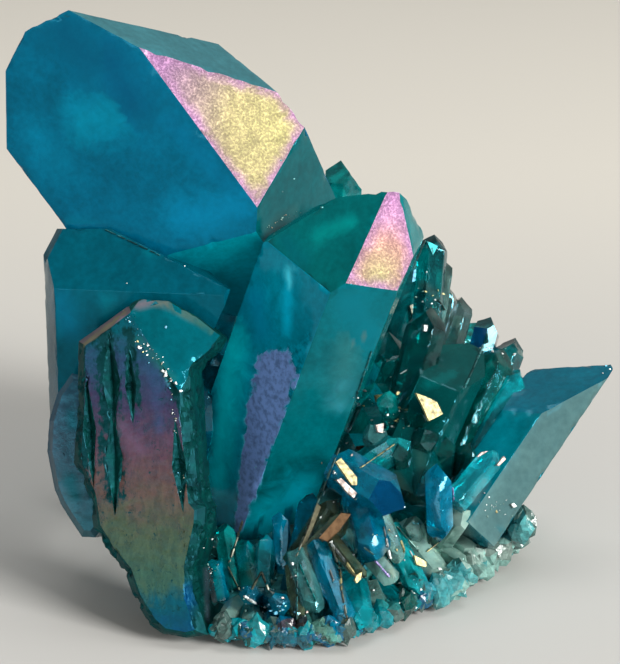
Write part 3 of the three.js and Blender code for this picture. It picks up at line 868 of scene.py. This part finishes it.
def painted(points, sight):
    """How deep each point lies in a stroke, from 0 at its rim to 1, and the stroke's colour."""
    seen, away = sight.pixels(points)
    depth = np.full(len(points), NO_MARK)
    color = np.zeros((len(points), 3))
    for first, last, radius, shade in STROKES:
        near = 1 - stretch_distance(seen, first, last) / radius
        depths = [d for d in (sight.depth(first), sight.depth(last)) if d] or [0.0]
        near[np.abs(away - sum(depths) / len(depths)) > STROKE_DEPTH] = NO_MARK
        nearest = near > depth
        depth[nearest] = near[nearest]
        color[nearest] = shade
    return depth, color


def fissures(points):
    """How deep each point lies in a fissure of the plate, from 0 at its lip to 1."""
    right, up, _ = plate_axes()
    offset = points - np.array(PLATE_CORNER)
    flat = np.stack([offset @ np.array(right), offset @ np.array(up)], axis=1)
    depth = np.full(len(points), NO_MARK)
    for top, bottom, half_width in FISSURES:
        depth = np.maximum(depth, 1 - stretch_distance(flat, top, bottom) / half_width)
    return depth


def matrix_cut(p):
    """Depth of the matrix's crags, in coarse and fine lumps and in ledges."""
    ledge = Vector((p.x * 0.5, p.y * 0.5, p.z * 1.7))
    cut = 0.9 * noise.turbulence(p * 0.35, 3, False) + 0.25 * noise.noise(p * 1.9)
    return cut + 0.25 * noise.noise(ledge)


def plate_cut(p, crack):
    """Depth of the plate's uneven skin and of its ragged fissures."""
    ragged = max(crack + 0.9 * noise.noise(p * 0.7), 0.0) if crack > -1 else 0.0
    skin = 0.05 + 0.05 * noise.noise(p * 1.1)
    return skin + 0.9 * min(ragged, 1.0) * noise.turbulence(p * 0.5, 3, False)


def crystal_cut(p, gloss, at_edge):
    """Depth of a crystal's uneven faces, the glossy ones more so, and of its worn edges."""
    cut = (0.05 + 0.07 * gloss) * (1 + noise.noise(p * 0.45))
    if at_edge:
        cut += 0.05 + 0.9 * max(noise.noise(p * 0.7) - 0.2, 0.0)
    return cut


def roughen(bm, layer):
    """Cuts crags, fissures and worn edges inwards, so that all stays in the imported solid."""
    cracks = fissures(np.array([v.co / MM for v in bm.verts]))
    moves = {}
    for vert, crack in zip(bm.verts, cracks):
        if vert.co.z < CUT_FROM * MM:
            continue
        p = vert.co / MM
        rock, plate, gloss = (
            min(f[layer[name]] for f in vert.link_faces) for name in ("rock", "plate", "gloss")
        )
        if rock:
            cut = matrix_cut(p) * (rock * min(p.z / CRAG_FADE, 1.0))
        elif plate:
            cut = plate_cut(p, crack)
        else:
            cut = crystal_cut(p, gloss, any(not edge.smooth for edge in vert.link_edges))
        moves[vert] = -vert.normal * max(cut, 0.0) * MM
    for vert, move in moves.items():
        vert.co += move


def hollow_rim(bm):
    """Lifts the rim of the flat underside a little, so that the cluster stands on its middle."""
    for vert in bm.verts:
        height = vert.co.z / MM
        if UNDERSIDE <= height < HOLLOW_FADE:
            vert.co.z += HOLLOW[0] * (1 - height / HOLLOW_FADE) * MM
    under = {v for v in bm.verts if v.co.z < UNDERSIDE * MM}
    ring = {v for v in under if any(f.normal.z > -0.9 for f in v.link_faces)}
    seen = set(ring)
    for lift in HOLLOW:
        for vert in ring:
            vert.co.z += lift * MM
        ring = {e.other_vert(v) for v in ring for e in v.link_edges} & under - seen
        seen |= ring
    bmesh.ops.dissolve_degenerate(bm, dist=WELD, edges=bm.edges)
    bmesh.ops.triangulate(bm, faces=[f for f in bm.faces if len(f.verts) > 3])


def read(mesh, name):
    values = np.empty(len(mesh.vertices) * 3, np.float32)
    mesh.vertices.foreach_get(name, values)
    return values.reshape(-1, 3)


def write(mesh, name, values):
    """Writes numbers, or colours with their fourth channel, as an attribute of the points."""
    if values.ndim == 1:
        mesh.attributes.new(name, "FLOAT", "POINT").data.foreach_set("value", values)
    else:
        mesh.attributes.new(name, "FLOAT_COLOR", "POINT").data.foreach_set("color", values.ravel())


def write_marks(mesh, sight):
    """Marks, some of them painted light, stain and fissures as attributes of the points."""
    points = read(mesh, "co") / MM
    normals = read(mesh, "normal")
    depth, shades = painted(points, sight)
    color = np.column_stack([shades, np.full(len(points), STROKE_SHARE)])
    stain = np.zeros(len(points))
    marks = GLOW_AND_TINT_MARKS + [(first, last, radius, STAIN_COLOR, 1.0) for first, last, radius in STAIN]
    for index, (first, last, radius, shade, strength) in enumerate(marks):
        normal = np.array(sight.normal(first))
        near = 1 - stretch_distance(points, sight.point(first), sight.point(last)) / radius
        near[normals @ normal < 0.8] = NO_MARK
        nearest = near > depth
        depth[nearest] = near[nearest]
        color[nearest] = (*shade, strength)
        stain[nearest] = float(index >= len(GLOW_AND_TINT_MARKS))
    write(mesh, "depth", depth)
    write(mesh, "stain", stain)
    write(mesh, "crack", fissures(points))
    write(mesh, "mark", color)


def write_gilt(mesh, sight, outlines):
    """The gilt faces' colours, a painted iridescent sheen, and how near their rims each point is."""
    points = read(mesh, "co") / MM
    rim = np.full(len(points), NO_GILT)
    leaf = np.zeros((len(points), 4))
    for outline, (golden, reach, stops) in zip(outlines, GILT_SHEEN):
        for a, b in zip(outline, outline[1:] + outline[:1]):
            rim = np.minimum(rim, stretch_distance(points, a, b))
        way = np.linalg.norm(points - np.array(sight.point(golden)), axis=1) / reach
        inside = way < 1.2
        places = [place for place, _ in stops]
        for k in range(3):
            leaf[inside, k] = np.interp(way[inside], places, [color[k] for _, color in stops])
    write(mesh, "rim", 1 - rim / GILT_RIM)
    write(mesh, "leaf", leaf)


# ---------------------------------------------------------------- tiny crystals, edges, facets and glints

class Crust:
    """Mesh of many small closed bodies, with a tint and a shine for each face."""

    def __init__(self):
        self.bm = bmesh.new()
        self.bm.faces.layers.float_color.new("tint")
        self.bm.faces.layers.float.new("shine")
        self.shine = self.bm.faces.layers.float["shine"]
        self.tint = self.bm.faces.layers.float_color["tint"]

    def body(self, points, rings, color, shine):
        """Closed body, shifted as a whole to stay in the CAD box."""
        shift = Vector()
        for k in range(3):
            reach = [point[k] for point in points]
            shift[k] = max(cad_box[0][k] / MM + SPARE - min(reach), 0.0)
            shift[k] += min(cad_box[1][k] / MM - SPARE - max(reach), 0.0)
        verts = [self.bm.verts.new((point + shift) * MM) for point in points]
        for ring in rings:
            face = self.bm.faces.new([verts[k] for k in ring])
            face[self.tint] = (*color, 1)
            face[self.shine] = shine

    def crystal(self, foot, tip, width, color, draw):
        """Six sides and six tip faces of uneven height."""
        axis = (tip - foot).normalized()
        side = axis.orthogonal().normalized()
        other = axis.cross(side)
        step = math.pi / 3
        turn = draw.uniform(0, step)
        low, high = [], []
        for k in range(6):
            angle = turn + k * step
            out = (side * math.cos(angle) + other * math.sin(angle)) * width / 2 * draw.uniform(0.85, 1.1)
            low.append(foot + out)
            high.append(tip - axis * width * draw.uniform(0.35, 0.75) + out)
        rings = [(5, 4, 3, 2, 1, 0)]
        for k in range(6):
            n = (k + 1) % 6
            rings += [(k, n, n + 6, k + 6), (k + 6, n + 6, 12)]
        self.body(low + high + [tip], rings, color, 0.0)

    def slab(self, front, normal, color, shine=1.0):
        """Thin body behind a flat outline."""
        n = len(front)
        back = [corner - normal * SLAB for corner in front]
        rings = [tuple(range(n)), tuple(reversed(range(n, 2 * n)))]
        rings += [(k, k + n, (k + 1) % n + n, (k + 1) % n) for k in range(n)]
        self.body(front + back, rings, color, shine)

    def lump(self, middle, radius, color, draw):
        """Rounded broken stone."""
        ball = bmesh.new()
        bmesh.ops.create_icosphere(ball, subdivisions=2, radius=1.0)
        shift = Vector((draw.uniform(0, 99), 0, 0))
        long = Vector((draw.uniform(0.7, 1.1), draw.uniform(0.7, 1.1), draw.uniform(0.7, 1.4))) * radius
        points = []
        for vert in ball.verts:
            swell = 0.85 + 0.6 * noise.noise(vert.co * 1.1 + shift) + 0.3 * noise.noise(vert.co * 3 + shift)
            points.append(middle + vert.co * long * swell)
        self.body(points, [[v.index for v in f.verts] for f in ball.faces], color, 0.0)
        ball.free()


def lay_edge_highlights(crust, sight, draw):
    """Thin bars of painted highlight along bright edges, in short stretches of uneven brightness that each
    lie on the stone and are turned to mirror the key light.
    """
    for first, last, width, color in EDGE_HIGHLIGHTS:
        run = Vector(last) - Vector(first)
        side = Vector((run.y, -run.x)).normalized() * width / 2
        done = 0.0
        while done < 0.97:
            reach = min(draw.uniform(4, 13) / run.length, 1 - done)
            thick = draw.uniform(0.35, 0.85)
            # Painted highlight: each stretch gets its own brightness.
            shade = draw.uniform(0.15, 0.9)
            start = Vector(first) + run * done
            low, middle, high = (start + run * reach * share for share in (0.1, 0.5, 0.9))
            depths = [sight.depth(pixel) for pixel in (low, middle, high)]
            done += reach * draw.uniform(0.95, 1.25)
            if None in depths:
                continue
            if max(depths) - min(depths) > BAR_LEAP:
                depths = [min(depths)] * 3
            rise = RISE + max((depths[0] + depths[2]) / 2 - depths[1], 0.0)
            a, b = sight.at(low, depths[0] - rise), sight.at(high, depths[2] - rise)
            along = (b - a).normalized()
            normal = sight.flash(a)
            normal = (normal - along * normal.dot(along)).normalized()
            corners = [start + run * reach * share + side * out * thick for share, out in BAR]
            front = [sight.onto(corner, a, normal) for corner in corners]
            crust.slab(front, normal, shaded(color, shade))


def lay_facets(crust, sight):
    """Thin bright facets on the stone, turned to flash in the key light; the shining ones are painted glints.
    """
    for outline, color in FACETS:
        middle = sum((Vector(pixel) for pixel in outline), Vector((0, 0))) / len(outline)
        depths = sorted(depth for depth in map(sight.depth, outline + [middle]) if depth)
        nearest = next(depth for depth in depths if depth > depths[-1] - FACET_DEPTH)
        point = sight.at(middle, nearest - RISE)
        shine = 0.0 if color in MATT else 1.0
        normal = (sight.flash(point) + Vector(MATT_LEAN) * (1 - shine)).normalized()
        front = [sight.onto(pixel, point, normal) for pixel in outline]
        crust.slab(front, normal, shaded(color, 1 - 0.4 * shine), shine)


def lay_glints(crust, sight, draw):
    """Small ragged facets painted as glints that flash, some fainter than others."""
    spots = [(pixel, width, color) for color, places in GLINTS.items() for pixel, width in places]
    for first, last, spread, count, names in SPARKLES:
        for _ in range(count):
            pixel = Vector(first).lerp(Vector(last), draw.random())
            pixel += Vector((draw.gauss(0, spread), draw.gauss(0, spread)))
            spots.append((pixel, draw.choice([0.7, 0.9, 1.2, 1.7, 2.4]), draw.choice(names)))
    for pixel, width, color in spots:
        depth = sight.depth(pixel)
        if not depth:
            continue
        point = sight.at(pixel, depth - 0.1)
        normal = (sight.flash(point) + Vector((draw.gauss(0, 0.1), 0, draw.gauss(0, 0.1)))).normalized()
        turn = draw.uniform(0, math.tau)
        slant = draw.uniform(0, math.pi)
        front = []
        for k in range(5):
            angle = turn - k * math.tau / 5
            reach = draw.uniform(0.35, 1.1) * (0.55 + 0.75 * abs(math.cos(angle - slant)))
            out = Vector((math.cos(angle), math.sin(angle))) * width / 2 * reach
            front.append(sight.onto(Vector(pixel) + out, point, normal))
        # Painted highlight: each glint gets its own brightness.
        crust.slab(front, normal, shaded(color, draw.uniform(0.3, 0.9)))


def lay_foot(crust, sight, draw):
    """Broken stone grown along the foot of the matrix, with painted shade that darkens it towards the floor.
    """
    for (first, low), (last, high) in zip(FOOT, FOOT[1:]):
        run = Vector(last) - Vector(first)
        size, painted_shade_lift, names = RIGHT_RUBBLE if first[0] > RIGHT_FROM else LEFT_RUBBLE
        for _ in range(round(run.length * RUBBLE_PER_PIXEL)):
            share = draw.random()
            radius = draw.uniform(*RUBBLE_RADIUS) * size
            ray = sight.ray(Vector(first) + run * share)
            height = max((low + (high - low) * share) * draw.uniform(0.7, 1.5), radius + 0.7)
            middle = sight.eye + ray * ((height - sight.eye.z) / ray.z) + Vector((0, draw.uniform(0, 1.5), 0))
            stone = sight.nearest(middle)
            out = middle - stone
            middle = stone + out * min(0.8 * radius / max(out.length, SPARE), 1.0)
            # Painted shade: rubble nearer the floor is darker.
            shade = draw.uniform(0.7, 1.0) * min(0.25 + height * painted_shade_lift, 0.9)
            crust.lump(middle, radius, shaded(draw.choice(names), shade), draw)


def lay_druse(crust, bm, layer, draw):
    """Crust of tiny crystals on the matrix."""
    lowest, highest = (Vector(p) / MM for p in cad_box)
    for face in bm.faces:
        place = face.calc_center_median() / MM
        if face[layer["rock"]] < 0.9 or place.z < DRUSE_FROM or on_plate(face):
            continue
        if draw.random() > DRUSE_PER_MM2 * face.calc_area() / MM ** 2:
            continue
        lean = Vector((draw.gauss(0, 0.4), draw.gauss(0, 0.4), draw.gauss(0.15, 0.4)))
        way = (face.normal + lean).normalized()
        if way.dot(face.normal) < 0.3:
            continue
        length = draw.uniform(0.35, 0.9) * draw.choice([1, 1, 1.5])
        width = draw.uniform(0.5, 0.8) * length ** 0.5
        tip = place + way * length
        if any(not low + 0.1 < c < high - 0.1 for c, low, high in zip(tip, lowest, highest)):
            continue
        own = Vector(COLORS["grey" if place.x < 10 else "pale"])
        other = Vector(COLORS[guessed_color(place, draw)])
        color = own.lerp(other, draw.uniform(0, 0.6)) * draw.uniform(0.3, 0.9)
        crust.crystal(place - way * 0.5, tip, width, color, draw)


def make_crust(bm, layer, sight):
    """The piece of all the small bodies, the painted highlights of edges, facets and glints among them, the
    matt ones coloured by the strokes that cross them.
    """
    crust = Crust()
    draw = random.Random(9)
    lay_druse(crust, bm, layer, draw)
    lay_foot(crust, sight, draw)
    lay_edge_highlights(crust, sight, draw)
    lay_facets(crust, sight)
    lay_glints(crust, sight, draw)
    matt = [face for face in crust.bm.faces if face[crust.shine] == 0]
    centres = np.array([face.calc_center_median() / MM for face in matt])
    for face, depth, color in zip(matt, *painted(centres, sight)):
        if depth > 0:
            own = Vector(face[crust.tint][:3])
            face[crust.tint] = (*own.lerp(Vector(color) * (0.6 + own.length), 0.8), 1)
    bmesh.ops.recalc_face_normals(crust.bm, faces=crust.bm.faces)
    mesh = bpy.data.meshes.new("druse_and_glints")
    crust.bm.to_mesh(mesh)
    crust.bm.free()
    druse_and_glints = link(bpy.data.objects.new("druse_and_glints", mesh))
    mesh.materials.append(druse_and_glint_quartz())
    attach(druse_and_glints, "root")


def make_crystals(camera):
    """The piece `crystals`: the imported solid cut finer, roughened and marked. The druse is laid on it."""
    bm = packed_solid()
    sight = Sight(camera, bm)
    layer, gilt_outlines = mark_faces(bm, sight)
    for edge in bm.edges:
        edge.smooth = edge.calc_face_angle() < CREASE
    make_fine(bm, layer)
    for face in bm.faces:
        face.smooth = face[layer["rock"]] < 0.9
    roughen(bm, layer)
    hollow_rim(bm)
    bm.normal_update()
    make_crust(bm, layer, sight)
    mesh = bpy.data.meshes.new("crystals")
    bm.to_mesh(mesh)
    bm.free()
    mesh.attributes.remove(mesh.attributes["custom_normal"])
    write_marks(mesh, sight)
    write_gilt(mesh, sight, gilt_outlines)
    crystals = link(bpy.data.objects.new("crystals", mesh))
    mesh.materials.append(quartz())
    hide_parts("quartz_cluster")
    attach(crystals, "root")


# ---------------------------------------------------------------- materials

def plate_skin(g, uneven, wisp, fine, grain):
    """Bands of colour up the plate, streaked, with fissures, pits and hairline cracks."""
    height = g.vector("DOT_PRODUCT", g.vector("SUBTRACT", g.place, PLATE_CORNER), tuple(plate_axes()[1]))
    height = g.math("MULTIPLY_ADD", uneven, 10.0, height)
    bands = [(z / PLATE_HEIGHT, color) for z, color in PLATE_COLORS]
    skin = g.ramp(g.math("DIVIDE", height, PLATE_HEIGHT), bands)
    streak = g.noise(1.0, 4.0, 0.65, 0.5, g.vector("MULTIPLY", g.place, (1.2, 0.5, 0.45)))
    skin = g.scale(skin, g.blend(g.step(streak, 0.25, 0.75), 0.72, 1.24))
    skin = g.scale(skin, g.blend(grain, 0.78, 1.22))
    pits = g.step(fine, 0.64, 0.70)
    hair = g.step(g.math("ABSOLUTE", g.math("SUBTRACT", streak, 0.47)), 0.016, 0.0)
    hair = g.math("MULTIPLY", hair, g.step(wisp, 0.46, 0.6))
    ragged = g.math("MULTIPLY_ADD", g.math("SUBTRACT", streak, 0.5), 3.0, g.number("crack"))
    ragged = g.math("MULTIPLY_ADD", g.math("SUBTRACT", fine, 0.5), 2.0, ragged)
    return g.mix(g.most(g.step(ragged, -0.1, 0.5), pits, hair), skin, FISSURE_COLOR)


def gilt_sheen_leaf(g, uneven, wisp, grain):
    """Golden to violet painted iridescent sheen with a rim of its own, blotched and grainy."""
    near = g.number("rim")
    rim = g.step(g.math("MULTIPLY_ADD", uneven, 1.4, near), 0.1, 1.25)
    leaf = g.mix(rim, g.color("leaf"), GILT_SHEEN_RIM_COLOR)
    leaf = g.mix(g.step(near, 0.93, 0.97), leaf, GILT_SHEEN_EDGE_COLOR)
    leaf = g.scale(leaf, g.blend(g.step(wisp, 0.35, 0.65), 0.78, 1.15))
    # Painted shade in the grain's hollows, and painted highlight on its peaks.
    leaf = g.mix(g.step(grain, 0.60, 0.40), leaf, g.vector("MULTIPLY", leaf, (0.70, 0.67, 0.72)))
    return g.scale(leaf, g.blend(g.step(grain, 0.55, 0.68), 1.0, 1.3))


def quartz():
    """Coated quartz, whose clearness, gloss, frost, rock, plate's skin and gilding with its painted sheen the
    faces carry.
    """
    g = Graph("aura_quartz")
    gilt, frost, rock, plate, stain, gloss = (
        g.number(name) for name in ("gilt", "frost", "rock", "plate", "stain", "gloss")
    )
    cloud = g.noise(0.07, 3.0, 0.5, 0.6)
    wisp = g.noise(0.28, 4.0, 0.6, 1.2)
    fine = g.noise(1.1, 4.0, 0.6)
    grain = g.noise(2.8, 2.0, 0.6)
    uneven = g.math("SUBTRACT", wisp, 0.5)

    # The crystals' own colour, clouded; the flaws of the large ones, the specks of the small ones.
    veil = g.math("MULTIPLY_ADD", wisp, 0.35, g.math("MULTIPLY", cloud, 0.65))
    body = g.scale(g.color("tint"), g.blend(g.step(veil, 0.32, 0.68), 0.8, 1.25))
    flaw = g.blend(g.step(wisp, 0.35, 0.65), 0.55, 1.15)
    speck = g.blend(g.step(fine, 0.32, 0.68), 0.90, 1.10)
    body = g.scale(body, g.blend(gloss, speck, flaw))

    body = g.mix(plate, body, plate_skin(g, uneven, wisp, fine, grain))
    # The gilt faces take their painted iridescent sheen.
    body = g.mix(gilt, body, gilt_sheen_leaf(g, uneven, wisp, grain))
    layered = g.noise(1.0, 3.0, 0.6, 0.4, g.vector("MULTIPLY", g.place, (0.5, 0.5, 1.7)))
    shades = g.ramp(g.blend(0.5, wisp, layered), ROCK_SHADES)
    body = g.mix(rock, body, g.vector("MULTIPLY", body, shades))

    # Marks with uneven edges, painted glow and glints among them; the stain's edge is sharper and more
    # ragged, and the stain is speckled.
    edge = g.math("MULTIPLY_ADD", uneven, g.blend(stain, 0.7, 1.8), g.number("depth"))
    share = g.math("MULTIPLY", g.step(edge, 0.0, g.blend(stain, 1.1, 0.25)), g.number("mark", "Alpha"))
    share = g.math("MULTIPLY", share, g.math("SUBTRACT", 1.0, gilt))
    body = g.mix(share, body, g.color("mark"))
    body = g.scale(body, g.blend(stain, 1.0, g.blend(g.step(fine, 0.3, 0.6), 0.6, 1.15)))

    # Every mark, the painted light among them, lies under the surface and covers what is behind it, less so
    # in a glossy crystal.
    covered = g.math("MULTIPLY", share, g.blend(gloss, 1.0, 0.5))
    dull = g.most(frost, rock, g.math("MULTIPLY", stain, share))
    rough = g.blend(gloss, g.blend(plate, ROUGHNESS["clear"], ROUGHNESS["plate"]), ROUGHNESS["gloss"])
    g.set("Base Color", body)
    g.set("Metallic", g.math("MULTIPLY", gilt, GILT_METAL))
    g.set("Roughness", g.blend(gilt, g.blend(dull, rough, ROUGHNESS["dull"]), ROUGHNESS["gilt"]))
    g.set("IOR", IOR)
    g.set("Specular Tint", SPECULAR_TINT)
    g.set("Transmission Weight", g.math("MULTIPLY", g.number("clear"), g.math("SUBTRACT", 1.0, covered)))
    g.set("Coat Weight", g.math("MULTIPLY", gloss, 0.4))
    g.set("Coat Roughness", 0.03)

    strength = g.blend(g.most(gloss, rock), g.blend(plate, RELIEF["clear"], RELIEF["plate"]), RELIEF["small"])
    strength = g.blend(gilt, strength, RELIEF["gilt"])
    depth = g.blend(gilt, RELIEF_DEPTH * MM, GILT_RELIEF_DEPTH * MM)
    g.relief(strength, depth, g.blend(gilt, fine, grain))

    absorb = g.node("VolumeAbsorption", 0, {"Color": ABSORPTION_COLOR, "Density": ABSORPTION_DENSITY})
    g.feed(g.tree.nodes["Material Output"].inputs["Volume"], absorb)
    return g.material


def druse_and_glint_quartz():
    """Small bodies: grainy and a little see-through, or bright where they shine as painted glints."""
    g = Graph("druse_and_glint_quartz")
    shine = g.number("shine")
    grain = g.noise(1.5, 3.0, 0.6)
    shade = g.blend(g.step(grain, 0.3, 0.7), g.blend(shine, 0.75, 0.25), 1.35)
    g.set("Base Color", g.scale(g.color("tint"), shade))
    g.set("Metallic", g.math("MULTIPLY", shine, GILT_METAL))
    g.set("Roughness", g.blend(shine, 0.10, 0.50))
    g.set("IOR", IOR)
    g.set("Transmission Weight", g.blend(shine, 0.25, 0.0))
    g.relief(RELIEF["druse_and_glints"], RELIEF_DEPTH * MM, grain)
    return g.material


camera = make_camera()
make_lights()
make_floor()
make_crystals(camera)
